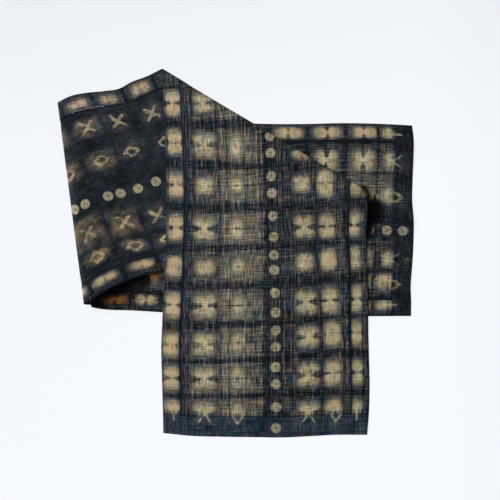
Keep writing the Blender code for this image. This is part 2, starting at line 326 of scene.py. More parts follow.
def curve(table, share):
    """A soft curve through the (share, value) rows of a table."""
    at, value = np.array(table).T
    slope = np.gradient(value, at)
    share = np.clip(share, at[0], at[-1])
    k = np.clip(np.searchsorted(at, share, side="right") - 1, 0, len(at) - 2)
    span = at[k + 1] - at[k]
    f = (share - at[k]) / span
    start = (1.0 + 2.0 * f) * (1.0 - f) ** 2 * value[k] + f * (1.0 - f) ** 2 * span * slope[k]
    end = f * f * (3.0 - 2.0 * f) * value[k + 1] - f * f * (1.0 - f) * span * slope[k + 1]
    return start + end


def across(pair, g):
    """The value at share g across the strip, from its values at the lower and the upper edge."""
    lower, upper = np.array(pair[0], float), np.array(pair[1], float)
    return np.multiply.outer(1.0 - g, lower) + np.multiply.outer(g, upper)


def unit(vector):
    return vector / np.linalg.norm(vector, axis=-1, keepdims=True)


def turned(vector):
    """The vector a quarter turn to the left."""
    return np.stack([-vector[..., 1], vector[..., 0]], axis=-1)


def distance_to(start, end, plan):
    """Distance of the points of plan from the straight line between start and end."""
    start, end = np.array(start), np.array(end)
    share = np.clip((plan - start) @ (end - start) / np.dot(end - start, end - start), 0.0, 1.0)
    return np.linalg.norm(plan - start - share[..., None] * (end - start), axis=-1)


def ridge_height(ridges, plan):
    """Height that the soft ridges of a run add at the points of plan."""
    total = np.zeros(len(plan))
    for start, end, half_width, height in ridges:
        total += height * np.exp(-((distance_to(start, end, plan) / half_width) ** 2))
    return total


def outwards_of(loop):
    lower, upper = np.array(loop["crease"])
    return loop["side"] * turned(unit(upper - lower))


def loop_point(loop, angle, g):
    """Plan and height at an angle from 0, where the loop leaves the run below, to pi on top."""
    crease = across(loop["crease"], g)
    lower, upper = np.array(loop["crease"])
    depth = across(loop["depth"], g)
    slant = loop["slant"][0 if angle < math.pi / 2 else 1]
    arc = (angle - math.pi / 2) * (depth + across(loop["height"], g) / 2) / 2
    inwards = -outwards_of(loop) * (depth * (1.0 - math.sin(angle)))[:, None]
    sideways = unit(upper - lower) * (arc * slant)[:, None]
    lift = across(loop["height"], g) * (1.0 - math.cos(angle)) / 2
    return crease + inwards + sideways, lift


def run_point(start, end, share, edges, upper_side, g):
    """Plan in a run at a share of its length, with the uneven edges of the cloth.

    upper_side is 1 where the upper edge is on the left of someone who walks from start to end,
    and -1 where it is on the right.
    """
    plan = start + (end - start) * share[:, None]
    to_upper = upper_side * turned(unit(end - start))
    lower_edge, upper_edge = edges
    shift = curve(upper_edge, share) * g - curve(lower_edge, share) * (1.0 - g)
    return plan + to_upper * shift[:, None]


def right_run_edge_y(place, x):
    """y at x of the right run's lower edge, where place is 0, or upper edge, where it is 1."""
    g = np.full(EDGE_SAMPLES, place)
    end, _ = loop_point(LEFT_LOOP, 0.0, g)
    share = np.linspace(1.0, 0.0, EDGE_SAMPLES)
    plan = run_point(across(RIGHT_END, g), end, share, RIGHT_RUN_EDGES, -1.0, g)
    return np.interp(x, plan[:, 0], plan[:, 1])


def lift_over(beyond):
    """Extra height of a layer near the edge below it, from how far points lie beyond it."""
    return EDGE_LIFT * np.exp(-((beyond / EDGE_LIFT_REACH) ** 2))


def fallen(beyond):
    """Share of the way down that a layer has come, from how far points lie beyond the edge."""
    return smooth((beyond - EDGE_CLEARANCE) / STEP_DOWN)


def middle_rest(plan):
    """Height of the middle run's upper face where it lies at rest on what is below it."""
    on_cloth = 2 * HEM_THICKNESS + LAYER_GAP
    on_surface = HEM_THICKNESS + REST_CLEARANCE
    beyond = plan[:, 1] - right_run_edge_y(1.0, plan[:, 0])
    return on_cloth + (on_surface - on_cloth) * fallen(beyond) + lift_over(beyond)


def front_rest(plan):
    """Height of the front run's lower face where it lies at rest on what is below it."""
    on_middle = middle_rest(plan) + LAYER_GAP
    on_right = HEM_THICKNESS + LAYER_GAP
    lower, upper = np.array(LEFT_CREASE[0]), np.array(DIAGONAL_CREASE[0])
    past_middle = (plan - lower) @ -turned(unit(upper - lower))
    height = on_middle + (on_right - on_middle) * fallen(past_middle) + lift_over(past_middle)
    past_right = right_run_edge_y(0.0, plan[:, 0]) - plan[:, 1]
    return height * (1.0 - fallen(past_right)) + lift_over(past_right)


def end_shift(table, g, distance):
    """How far the cloth near a hemmed end is moved by that end's uneven edge."""
    return curve(table, g) * (1.0 - smooth(distance / END_EDGE_REACH))


def right_run(share, g):
    """Lower run, from the hemmed right end to the left loop: (plan, height)."""
    start = across(RIGHT_END, g)
    end, _ = loop_point(LEFT_LOOP, 0.0, g)
    plan = run_point(start, end, share, RIGHT_RUN_EDGES, -1.0, g)
    length = np.linalg.norm(end - start, axis=1)
    outwards = unit(start - end)
    plan = plan + outwards * end_shift(RIGHT_END_EDGE, g, share * length)[:, None]
    return plan, ridge_height(RIGHT_RUN_RIDGES, plan)


def middle_run(share, g):
    """Run from the top of the left loop to the foot of the diagonal loop."""
    start, _ = loop_point(LEFT_LOOP, math.pi, g)
    end, _ = loop_point(DIAGONAL_LOOP, 0.0, g)
    plan = run_point(start, end, share, MIDDLE_RUN_EDGES, 1.0, g)
    travelled = share * np.linalg.norm(end - start, axis=1)
    rest = middle_rest(plan)
    falling = 1.0 - smooth(travelled / across(LEFT_LOOP["descent"], g))
    height = rest + (across(LEFT_LOOP["height"], g) - rest) * falling
    return plan, height + ridge_height(MIDDLE_RUN_RIDGES, plan) * smooth(share * 6.0)


def front_run(share, g):
    """Run from the top of the diagonal loop to the hemmed front end."""
    start, _ = loop_point(DIAGONAL_LOOP, math.pi, g)
    end = across(FRONT_END, g)
    plan = run_point(start, end, share, FRONT_RUN_EDGES, -1.0, g)
    length = np.linalg.norm(end - start, axis=1)
    outwards = unit(end - start)
    plan = plan + outwards * end_shift(FRONT_END_EDGE, g, (1.0 - share) * length)[:, None]
    inside = (start - plan) @ outwards_of(DIAGONAL_LOOP)
    falling = 1.0 - smooth(inside / across(DIAGONAL_LOOP["descent"], g))
    rest = front_rest(plan)
    top = middle_rest(start) + across(DIAGONAL_LOOP["height"], g)
    return plan, rest + (top - rest) * falling + ridge_height(FRONT_RUN_RIDGES, plan)


def diagonal_loop(angle, g):
    plan, lift = loop_point(DIAGONAL_LOOP, angle, g)
    foot, _ = loop_point(DIAGONAL_LOOP, 0.0, g)
    return plan, middle_rest(foot) + lift


# Distances from an edge at which the fine cloth has a line of points: the rounded edge itself,
# the hem, and the step at its sewn line
EDGE_LINES = (
    0.0, 0.35, 0.9, 2.2, 6.0, 12.0, 18.0, 24.0, 29.0, 31.3, 32.0, 32.8, 35.2, 36.0, 36.8, 38.5,
)


def columns():
    """Places across the strip."""
    lines = np.array(EDGE_LINES)
    body = np.linspace(lines[-1], CLOTH_WIDTH - lines[-1], BODY_COLUMNS)[1:-1]
    return np.concatenate([lines, body, CLOTH_WIDTH - lines[::-1]]) / CLOTH_WIDTH


def cloth_rows(g):
    """Every row across the strip in order, as (plan, height)."""
    ones = np.ones_like(g)
    found = []
    start = across(RIGHT_END, g)
    end, _ = loop_point(LEFT_LOOP, 0.0, g)
    length = np.linalg.norm(end - start, axis=1)
    hem = [d / length for d in EDGE_LINES]
    found += [right_run(share * ones, g) for share in hem]
    for t in np.linspace(0.0, 1.0, RIGHT_RUN_ROWS)[1:]:
        found.append(right_run(hem[-1] + (1.0 - hem[-1]) * t, g))
    for angle in np.linspace(0.0, math.pi, LEFT_LOOP_ROWS)[1:]:
        found.append(loop_point(LEFT_LOOP, angle, g))
    for t in np.linspace(0.0, 1.0, MIDDLE_RUN_ROWS)[1:] ** CLOSER_ROWS:
        found.append(middle_run(t * ones, g))
    for angle in np.linspace(0.0, math.pi, DIAGONAL_LOOP_ROWS)[1:]:
        found.append(diagonal_loop(angle, g))
    start, _ = loop_point(DIAGONAL_LOOP, math.pi, g)
    length = np.linalg.norm(across(FRONT_END, g) - start, axis=1)
    hem = [d / length for d in EDGE_LINES]
    for t in np.linspace(0.0, 1.0, FRONT_RUN_ROWS)[1:] ** CLOSER_ROWS:
        found.append(front_run(t * (1.0 - hem[-1]), g))
    found += [front_run(1.0 - share, g) for share in reversed(hem[:-1])]
    return found


def strip():
    """Points of the face that lies down in the right run, and their places along and across."""
    g = columns()
    rows = cloth_rows(g)
    points = np.array([np.column_stack([plan, height]) for plan, height in rows])
    points[..., :2] -= MIDDLE
    step = np.linalg.norm(np.diff(points, axis=0), axis=2)
    travelled = np.vstack([np.zeros(len(g)), np.cumsum(step, axis=0)])
    along = travelled / travelled[-1] * CLOTH_LENGTH
    return points, along, np.broadcast_to(g * CLOTH_WIDTH, along.shape)


def normals_of(points):
    """Unit normals of the grid of points, upwards in the right run."""
    along = np.gradient(points, axis=0)
    sideways = np.gradient(points, axis=1)
    return unit(np.cross(sideways, along))


def hem_shares(along, wide):
    """How much a point belongs to an end hem and to a side hem, and how near the latter it is."""
    past_hem = np.minimum(along - RIGHT_HEM, CLOTH_LENGTH - FRONT_HEM - along)
    from_side = np.minimum(wide, CLOTH_WIDTH - wide)
    end_hem = 1.0 - smooth(past_hem / END_HEM_STEP + 0.5)
    side_hem = 1.0 - smooth((from_side - SIDE_HEM) / SIDE_HEM_STEP + 0.5)
    beside = 1.0 - smooth((from_side - SIDE_HEM) / HEM_SLOPE)
    return end_hem, side_hem, beside


def layers_at(along, wide):
    """How far the crisp face and the blurred face lie from the surface of the rails.

    The cloth is double in its hems and rounded at its edges. The side hems stand out on the
    crisp face, and the end hems on the blurred one.
    """
    end_hem, side_hem, beside = hem_shares(along, wide)
    fold = HEM_THICKNESS - SINGLE_THICKNESS
    full = SINGLE_THICKNESS + fold * np.maximum(end_hem, beside)
    crisp = fold * beside * (1.0 - side_hem) * (1.0 - end_hem)
    from_end = np.minimum(along, CLOTH_LENGTH - along)
    from_side = np.minimum(wide, CLOTH_WIDTH - wide)
    inside = np.clip(np.minimum(from_end, from_side) / EDGE_ROUNDING, 0.0, 1.0)
    rounded = np.sqrt(1.0 - (1.0 - inside) ** 2)
    blurred = EDGE_THICKNESS + (full - EDGE_THICKNESS) * rounded
    return crisp, blurred


def share_in(places, points, first_run):
    """How far a point of the lowest run lies within places of painted shade, from 0 to their depth.
    """
    plan = points[..., :2] + np.array(MIDDLE)
    shade = np.zeros(points.shape[:2])
    for start, end, radius, soft, depth in places:
        beyond = (distance_to(start, end, plan) - radius) / soft
        shade = np.maximum(shade, depth * (1.0 - smooth(beyond)))
    shade[first_run:] = 0.0
    return shade


def near_row(along, row, reach):
    """How near a point is to a row of the mesh along the strip, from 0 to 1."""
    return np.exp(-((along - along[row]) / reach) ** 2)


def row_phase(along, wide):
    """Row number at points of the strip: a whole number at the middle of each row."""
    phase = np.empty_like(along)
    for j in range(along.shape[1]):
        share = (wide[0, j] - LOWER_CROSS) / (UPPER_CROSS - LOWER_CROSS)
        at, number = [], []
        for k, (upper, lower, *_) in enumerate(MARK_ROWS):
            centre = lower + (upper - lower) * min(max(share, -0.3), 1.3)
            at += [centre - ROW_HALF, centre + ROW_HALF]
            number += [k - ROW_HALF / ROW_PITCH, k + ROW_HALF / ROW_PITCH]
        phase[:, j] = np.interp(along[:, j], at, number)
    return phase


def row_values(along, column):
    """Values of one column of the table of rows, level near each row and sloping between."""
    at, value = [], []
    for row in MARK_ROWS:
        at += [row[0] - ROW_HALF, row[0] + ROW_HALF]
        value += [row[column], row[column]]
    return np.interp(along, at, value)


def dot_phase(along):
    """Dot number at a distance along the strip: a whole number at the middle of each dot."""
    at, phase = [], []
    for k, (_, _, middle, half, *_) in enumerate(MARK_ROWS):
        for j, place in enumerate((middle - half, middle + half)):
            at += [place - DOT_HALF, place + DOT_HALF]
            number = 2 * k + j
            phase += [number - DOT_HALF / DOT_PITCH, number + DOT_HALF / DOT_PITCH]
    return np.interp(along, at, phase)


def drift(table, along):
    """How far a line of the pattern has moved across the strip."""
    at, shift = np.array(table).T
    return np.interp(along, at, shift)


def blended_drift(lower_table, upper_table, along, upper):
    """The same where the upper table counts for a share of it, and the lower one for the rest."""
    return drift(lower_table, along) * (1.0 - upper) + drift(upper_table, along) * upper


def grid_faces(rows, cols, first, flipped):
    """Quads of a grid of points, which starts at the point numbered first."""
    i, j = np.meshgrid(np.arange(rows - 1), np.arange(cols - 1), indexing="ij")
    corner = (first + i * cols + j).ravel()
    quads = np.column_stack([corner, corner + 1, corner + cols + 1, corner + cols])
    return quads[:, ::-1] if flipped else quads


def rim_faces(rows, cols):
    """Quads that join the rims of the two faces."""
    numbers = np.arange(rows * cols).reshape(rows, cols)
    loop = np.concatenate([
        numbers[0, :-1], numbers[:-1, -1], numbers[-1, :0:-1], numbers[:0:-1, 0],
    ])
    after = np.roll(loop, -1)
    return np.column_stack([loop, loop + rows * cols, after + rows * cols, after])


def add_values(mesh, name, values):
    attribute = mesh.attributes.new(name, "FLOAT", "POINT")
    attribute.data.foreach_set("value", np.ascontiguousarray(values, np.float32).ravel())


def new_object(name, data):
    """An object in the scene."""
    made = bpy.data.objects.new(name, data)
    bpy.context.scene.collection.objects.link(made)
    return made


def make_cloth():
    """The cloth as a thin closed sheet. Each point carries its place in the cloth."""
    points, along, wide = strip()
    normal = normals_of(points)
    crisp, blurred = layers_at(along, wide)
    top = points + normal * blurred[..., None]
    bottom = points + normal * crisp[..., None]

    # Rows of the mesh where the lowest run ends, and on the outermost lines of the two folds
    first_run = len(EDGE_LINES) + RIGHT_RUN_ROWS - 1
    left_row = first_run + LEFT_LOOP_ROWS * 2 // 3
    diagonal_row = first_run + LEFT_LOOP_ROWS + MIDDLE_RUN_ROWS + DIAGONAL_LOOP_ROWS * 2 // 3 - 3
    rows, cols = along.shape

    # Two faces and the rim between them
    vertices = np.concatenate([bottom.reshape(-1, 3), top.reshape(-1, 3)]) * MM
    faces = np.concatenate([
        grid_faces(rows, cols, 0, True),
        grid_faces(rows, cols, rows * cols, False),
        rim_faces(rows, cols)[:, ::-1],
    ])
    mesh = bpy.data.meshes.new("cloth_sheet")
    mesh.from_pydata(vertices.tolist(), [], faces.tolist())
    from_side = np.minimum(wide, CLOTH_WIDTH - wide)
    upper = smooth((wide - DOTS) / COLUMN_BLEND)
    moved = blended_drift(LOWER_DRIFT, UPPER_DRIFT, along, upper)
    moved = moved * smooth((from_side - MARKS_EDGE) / MARKS_BLEND)
    hems = blended_drift(LOWER_HEM_DRIFT, UPPER_HEM_DRIFT, along, upper)
    hems = hems * (1.0 - smooth((from_side - HEM_DRIFT_EDGE) / HEM_DRIFT_BLEND))
    hems = hems * smooth(from_side / OUTER_BLEND)
    for name, values in (
        ("along", along),
        ("across", wide),
        ("row_phase", row_phase(along, wide)),
        ("dot_phase", dot_phase(along)),
        ("dots_across", wide - DOTS - drift(DOTS_DRIFT, along)),
        ("marks_across", wide - moved),
        ("columns_across", wide - hems),
        ("crisp_halo", row_values(along, 4)),
        ("line", row_values(along, 5)),
        ("bar_half", row_values(along, 6)),
        ("cross_half", row_values(along, 7)),
        # Painted deep shade and painted half shade on the lowest run
        ("painted_shade", share_in(PAINTED_SHADE_PLACES, points, first_run)),
        ("painted_half_shade", share_in(PAINTED_HALF_SHADE_PLACES, points, first_run)),
        # Painted highlight along the left fold
        ("left_fold_highlight", near_row(along, left_row, LEFT_FOLD_HIGHLIGHT_WIDTH)),
        # Painted shade along the diagonal crease
        ("crease", near_row(along, diagonal_row, CREASE_SHADE_WIDTH)),
    ):
        add_values(mesh, name, np.concatenate([values, values]))
    side = np.zeros(2 * rows * cols)
    side[rows * cols:] = 1.0
    add_values(mesh, "blurred_side", side)
    mesh.shade_smooth()
    mesh.update()
    return new_object("runner_cloth", mesh), (along, wide, bottom, top)


def line_along(surface, from_lower, places):
    """Points of a face at places along the strip, at a distance from its lower edge."""
    along, wide, face = surface
    j = np.clip(np.searchsorted(wide[0], from_lower) - 1, 0, wide.shape[1] - 2)
    f = (from_lower - wide[0, j]) / (wide[0, j + 1] - wide[0, j])
    found = np.empty((len(places), 3))
    for n, (column, share, place) in enumerate(zip(j, f, places)):
        at = along[:, column] * (1.0 - share) + along[:, column + 1] * share
        i = min(max(int(np.searchsorted(at, place)) - 1, 0), len(at) - 2)
        t = (place - at[i]) / (at[i + 1] - at[i])
        near = face[i:i + 2, column] * (1.0 - share) + face[i:i + 2, column + 1] * share
        found[n] = near[0] * (1.0 - t) + near[1] * t
    return found


def line_across(surface, from_right, places):
    """Points of a face at places across the strip, at a distance along it."""
    along, wide, face = surface
    row = [[np.interp(from_right, along[:, j], face[:, j, k]) for k in range(3)]
           for j in range(along.shape[1])]
    row = np.array(row)
    return np.column_stack([np.interp(places, wide[0], row[:, k]) for k in range(3)])


def stitch_line(starts, ends, outwards, width):
    """Vertices and faces of one small raised stitch for each start and end."""
    middle = (starts + ends) / 2
    sideways = unit(np.cross(ends - starts, outwards)) * width / 2
    raised = middle + outwards * STITCH_HEIGHT
    sunk = outwards * STITCH_DEPTH
    vertices = np.stack([starts - sunk, middle - sideways - sunk, ends - sunk,
                         middle + sideways - sunk, raised], axis=1)
    pattern = ((0, 1, 4), (1, 2, 4), (2, 3, 4), (3, 0, 4), (3, 2, 1, 0))
    faces = [tuple(c + 5 * n for c in face) for n in range(len(starts)) for face in pattern]
    return vertices.reshape(-1, 3), faces


def make_stitches(name, width, lines, layers):
    """One mesh of stitches along hem lines: (kind, place, from, to, face)."""
    along, wide, bottom, top = layers
    vertices, faces = [], []
    for kind, place, start, end, on_top in lines:
        surface = (along, wide, top if on_top else bottom)
        at = np.arange(start, end, STITCH_PITCH)
        wobble = sum(size * np.sin(at * turn) for size, turn in SEAM_WAVES)
        if kind == "side":
            table = LOWER_HEM_DRIFT if place < CLOTH_WIDTH / 2 else UPPER_HEM_DRIFT
            moved = place + wobble + drift(table, at) * (1.0 if on_top else 0.0)
            begin = line_along(surface, moved, at)
            finish = line_along(surface, moved, at + STITCH_LENGTH)
            beside = line_along(surface, moved + 1.0, at)
        else:
            begin = line_across(surface, place, at)
            finish = line_across(surface, place, at + STITCH_LENGTH)
            beside = line_across(surface, place - 1.0, at)
        outwards = unit(np.cross(beside - begin, finish - begin))
        if not on_top:
            outwards = -outwards
        found, quads = stitch_line(begin, finish, outwards, width)
        before = sum(len(v) for v in vertices)
        faces += [tuple(c + before for c in quad) for quad in quads]
        vertices.append(found)
    mesh = bpy.data.meshes.new(name)
    mesh.from_pydata((np.concatenate(vertices) * MM).tolist(), [], faces)
    mesh.update()
    return new_object(name, mesh)


class Value:
    """A number in a shader, or a plain one, that can be added, multiplied and so on."""

    def __init__(self, tree, source):
        self.tree = tree
        self.source = source

    def math(self, operation, *others, clamp=False):
        node = self.tree.nodes.new("ShaderNodeMath")
        node.operation = operation
        node.use_clamp = clamp
        for socket, value in zip(node.inputs, (self, *others)):
            connect(self.tree, value, socket)
        return Value(self.tree, node.outputs[0])

    def operation(name):
        return lambda self, *others: self.math(name, *others)

    __add__ = __radd__ = operation("ADD")
    __sub__ = operation("SUBTRACT")
    __mul__ = operation("MULTIPLY")
    __truediv__ = operation("DIVIDE")
    __abs__ = operation("ABSOLUTE")
    power = operation("POWER")
    most = operation("MAXIMUM")
    least = operation("MINIMUM")

    def __rsub__(self, other):
        return Value(self.tree, other) - self

    def clamped(self):
        """This value, kept from 0 to 1."""
        return self.math("ADD", 0.0, clamp=True)

    def rises(self, low, high):
        """0 below low, 1 above high, and a soft S between them."""
        node = self.tree.nodes.new("ShaderNodeMapRange")
        node.interpolation_type = "SMOOTHSTEP"
        connect(self.tree, self, node.inputs["Value"])
        connect(self.tree, low, node.inputs["From Min"])
        connect(self.tree, high, node.inputs["From Max"])
        return Value(self.tree, node.outputs["Result"])

    def falls(self, low, high):
        return 1.0 - self.rises(low, high)

    def within(self, low, full, end, high):
        """1 from full to end, and 0 below low and above high."""
        return self.rises(low, full) * self.falls(end, high)

    def mixed(self, other, share):
        """This value where share is 0, and the other where it is 1."""
        return self + (other - self) * share


def connect(tree, value, socket):
    source = value.source if isinstance(value, Value) else value
    if isinstance(source, bpy.types.NodeSocket):
        tree.links.new(source, socket)
    else:
        socket.default_value = source


def set_inputs(node, values):
    for name, value in values.items():
        node.inputs[name].default_value = value


def attribute(tree, name):
    node = tree.nodes.new("ShaderNodeAttribute")
    node.attribute_name = name
    return Value(tree, node.outputs["Fac"])


def noise(tree, x, y, detail, seed):
    """Soft random value from 0 to 1 at (x, y)."""
    place = tree.nodes.new("ShaderNodeCombineXYZ")
    connect(tree, x, place.inputs["X"])
    connect(tree, y, place.inputs["Y"])
    connect(tree, seed, place.inputs["Z"])
    node = tree.nodes.new("ShaderNodeTexNoise")
    set_inputs(node, {"Scale": 1.0, "Detail": detail})
    tree.links.new(place.outputs["Vector"], node.inputs["Vector"])
    return Value(tree, node.outputs["Fac"])


def radius_of(x, y):
    """Distance of (x, y) from the middle of a mark."""
    return (x.power(2.0) + y.power(2.0)).math("SQRT")


def ramp(tree, value, stops):
    """Colour at a value from 0 to 1, from (place, colour) stops."""
    node = tree.nodes.new("ShaderNodeValToRGB")
    elements = node.color_ramp.elements
    elements[0].color = stops[0][1]
    elements[-1].color = stops[-1][1]
    for place, colour in stops[1:-1]:
        elements.new(place).color = colour
    connect(tree, value, node.inputs["Fac"])
    return node.outputs["Color"]


def screen_colour(rgb):
    """Shader colour of a screen colour, whose parts go from 0 to 255."""
    parts = [c / 255.0 for c in rgb]
    return (*[c / 12.92 if c <= 0.04045 else ((c + 0.055) / 1.055) ** 2.4 for c in parts], 1.0)


def mix_colour(tree, share, first, second, blend="MIX"):
    node = tree.nodes.new("ShaderNodeMix")
    node.data_type = "RGBA"
    node.blend_type = blend
    connect(tree, share, node.inputs["Factor"])
    a, b = [s for s in node.inputs if s.type == "RGBA"]
    for socket, colour in ((a, first), (b, second)):
        if isinstance(colour, bpy.types.NodeSocket):
            tree.links.new(colour, socket)
        else:
            socket.default_value = screen_colour(colour)
    return [s for s in node.outputs if s.type == "RGBA"][0]


def new_material(name):
    material = bpy.data.materials.new(name)
    material.use_nodes = True
    tree = material.node_tree
    shader = tree.nodes["Principled BSDF"]
    return material, tree, shader


def dyed_cloth_material():
    """Indigo cloth with tied marks: blurred along the threads on one side, crisp on the other."""
    material, tree, shader = new_material("dyed_cloth")
    along, wide, place, side, line, bar_half, cross_half, crease, painted_half_shade = [
        attribute(tree, name) for name in (
            "along", "across", "marks_across", "blurred_side", "line", "bar_half", "cross_half",
            "crease", "painted_half_shade",
        )
    ]
    stiff = 1.0 - side

    def from_middle(name, pitch):
        """Distance along the strip from the middle of the nearest row or dot."""
        number = attribute(tree, name)
        return (number - number.math("ROUND")) * pitch

    def spots(wide_size, along_size, detail, seed):
        """Soft random value from -0.5 to 0.5, in spots of a size in millimetres."""
        return noise(tree, wide / wide_size, along / along_size, detail, seed) - 0.5

    def outline(u, v, power):
        """How far out a point lies: 1 on a form that goes from a diamond to a block with power."""
        return (u.power(power) + v.power(power)).power(1.0 / power)

    v = from_middle("row_phase", ROW_PITCH)
    v_size = abs(v)

    # Threads: fine ones that change along their length, and ones that stay the same
    warp = spots(1.95, 20.0, 0.0, 1.0) + spots(1.95, 400.0, 0.0, 2.0) * 0.8
    warp_wide = spots(5.0, 60.0, 1.0, 3.0)
    weft = spots(22.0, 2.4, 0.0, 4.0) + spots(300.0, 2.4, 0.0, 5.0) * 0.5
    weft_wide = spots(60.0, 6.0, 1.0, 6.0)

    # Spots in the dye, from wide ones to fine ones
    patches = spots(34.0, 34.0, 2.0, 12.0)
    cloud = spots(22.0, 22.0, 2.0, 7.0)
    speckle = spots(3.4, 3.4, 0.0, 11.0)

    v_blurred = v_size + warp * 21.0 + warp_wide * 16.0
    v_bar = (v_size + warp * 24.0 + warp_wide * 10.0).most(0.0)
    v_line = abs(v + cloud * 3.5 + warp * 1.5)

    def block(middle, half_wide, half_long, soft, power):
        """Distance from the middle of a column, and a blurred block there."""
        u = abs(place - middle)
        u_blurred = (u + weft * 4.0 + weft_wide * 6.0).most(0.0)
        out = outline(u_blurred / half_wide, v_blurred.most(0.0) / half_long, power)
        return u, out.falls(1.0 - soft, 1.0 + soft)

    def cut(u, mark, start, slope, thin, strength):
        """The mark without the dyed wedge that comes in from each side along the folded line."""
        wedge = (v_line - thin - (u - start) * slope).falls(-2.2, 2.2)
        wedge = wedge * u.rises(start - 2.5, start + 3.5)
        return mark * (1.0 - wedge * strength)

    def soft_cross(middle, half_wide, half_long):
        u, mark = block(middle, half_wide, half_long, 0.44, 2.8)
        mark = cut(u, mark, 4.0, 0.38, 1.3, line * 0.45 + cross_half.rises(14.0, 19.0) * 0.45)
        notch = (u - (v_blurred - 9.0) * 0.4).falls(-2.5, 2.5) * v_blurred.rises(8.0, 15.0)
        return mark * (1.0 - notch * 0.45)

    def soft_block(middle, half_wide, half_long):
        u, mark = block(middle, half_wide, half_long, 0.42, 3.0)
        return cut(u, mark, 2.0, 0.10, 1.4, line * 0.9)

    def soft_bar(middle, half_wide):
        """A bar in two lobes, with ends that run out thread by thread."""
        u = (abs(place - middle) + weft * 4.0 + weft_wide * 5.0 + stiff * 2.0).most(0.0)
        bar = outline(u / half_wide, v_bar / (bar_half + 1.0), 3.4).falls(0.64, 1.44)
        lobe = v_bar.falls(8.0, 20.0) * v_line.rises(1.0, 6.0) * u.falls(1.0, half_wide)
        notch = (v_line - 1.7 - (u - half_wide * 0.3) * 0.45).falls(-2.0, 1.8)
        notch = notch * u.rises(0.0, half_wide * 0.5) * (line * 0.85 + 0.15) * (1.0 - stiff * 0.6)
        return bar * (0.77 + lobe * 0.25) * (1.0 - notch * 0.85)

    # Marks of the blurred side
    front = along.rises(600.0, 900.0)
    right_end = along.falls(60.0, 100.0)
    size = cross_half / 20.5 * 0.7 + 0.3
    lower_cross = soft_cross(LOWER_CROSS, size * 19.5, cross_half)
    upper_cross = soft_cross(UPPER_CROSS, size * 21.0, cross_half - 0.5) * 0.95
    lower_diamond = soft_block(LOWER_DIAMOND, 14.5, bar_half + 1.0)
    marks = lower_cross.most(upper_cross).most(lower_diamond)

    core_place = UPPER_DIAMOND - along.falls(200.0, 300.0) * 8.0
    core_wide = right_end * 4.0 + 10.5
    _, core = block(core_place, core_wide, cross_half - 3.0 + right_end * 6.0, 0.5, 2.0)
    core = core * (1.0 - (v_line - 1.5).falls(-1.5, 1.5) * line * 0.6)
    core = core * (1.0 - radius_of(place - core_place, v + cloud * 4.0).falls(1.5, 4.5) * 0.5)

    lower_bar = soft_bar(LOWER_BAR, 10.0) * (1.0 - stiff * 0.12)
    bar_place = UPPER_BAR + front * 1.5 + along.falls(300.0, 500.0) * 2.0
    upper_bar = soft_bar(bar_place, front * 4.4 + 10.0) * (1.0 - stiff * 0.3)
    upper_bar = upper_bar * (1.0 - along.within(846.0, 856.0, 906.0, 914.0) * 0.8)
    bars = lower_bar.most(upper_bar)

    # Ground of the blurred side
    bands = (abs(v_size - ROW_PITCH / 2) + warp_wide * 6.0).falls(2.5, 9.5)
    moved = attribute(tree, "columns_across") + weft * 3.0
    in_halo = wide.within(184.0, 188.0, 262.0, 268.0)
    beside_dots = wide.within(172.0, 180.0, 214.0, 222.0)
    folded_line = (v_line - 1.2).falls(-1.5, 1.5) * line * wide.within(176.0, 186.0, 318.0, 324.0)
    greys = [(at / CLOTH_WIDTH, (grey, grey, grey, 1.0)) for at, grey in GROUND_COLUMNS]
    ground = Value(tree, ramp(tree, moved / CLOTH_WIDTH, greys))
    ground = ground * (1.0 - bands * 0.64) * (1.0 - folded_line * 0.6)
    ground = ground + in_halo * v_size.falls(10.0, 30.0) * 0.05
    ground = ground + along.rises(1000.0, 1120.0) * 0.04
    ground = ground * (1.0 - along.falls(70.0, 100.0) * beside_dots * 0.65)
    blurred = ground.mixed(0.84 + cloud * 0.5, core)
    blurred = blurred.mixed(0.87 + cloud * 0.45, marks)
    blurred = blurred.mixed(0.90 + cloud * 0.60, bars)

    # Marks of the crisp side, which is also what the end hems show
    past_hem = (along - RIGHT_HEM).least(CLOTH_LENGTH - FRONT_HEM - along)
    on_hem = past_hem.falls(0.0, 6.0)
    wobble = spots(8.0, 8.0, 1.0, 8.0) * (1.0 - on_hem * 0.75)
    stroke = 3.3 - on_hem * 1.7 + wobble * 6.0
    w = abs(v + wobble * 6.0)

    def crisp_u(middle):
        return abs(place - middle + wobble * 8.0)

    def thin_cross(middle):
        u = crisp_u(middle)
        arms = abs(u - w * (1.0 - on_hem * 0.3))
        ends = (u + w * 0.12).most(w - on_hem * 4.0)
        return arms.falls(stroke - 1.2, stroke + 2.8 - on_hem) * ends.falls(11.3, 15.3)

    def thin_ring(middle):
        half_wide = 9.4 + on_hem * (3.6 - front * 2.0)
        half_long = 13.5 + on_hem * (9.0 - front * 4.5)
        out = outline(crisp_u(middle) / half_wide, w / half_long, 1.4) * 11.0
        half = stroke * 0.74 + on_hem * 0.5
        return abs(out - 9.2).falls(half - 0.6, half + 1.5)

    def thin_bar(middle):
        return crisp_u(middle).falls(0.8, 2.8) * w.falls(14.0, 18.0)

    def stain(middle, half_wide, half_long):
        v_stain = abs(v + wobble * 10.0 + warp_wide * 5.0)
        return outline(crisp_u(middle) / half_wide, v_stain / half_long, 4.0).falls(0.64, 1.36)

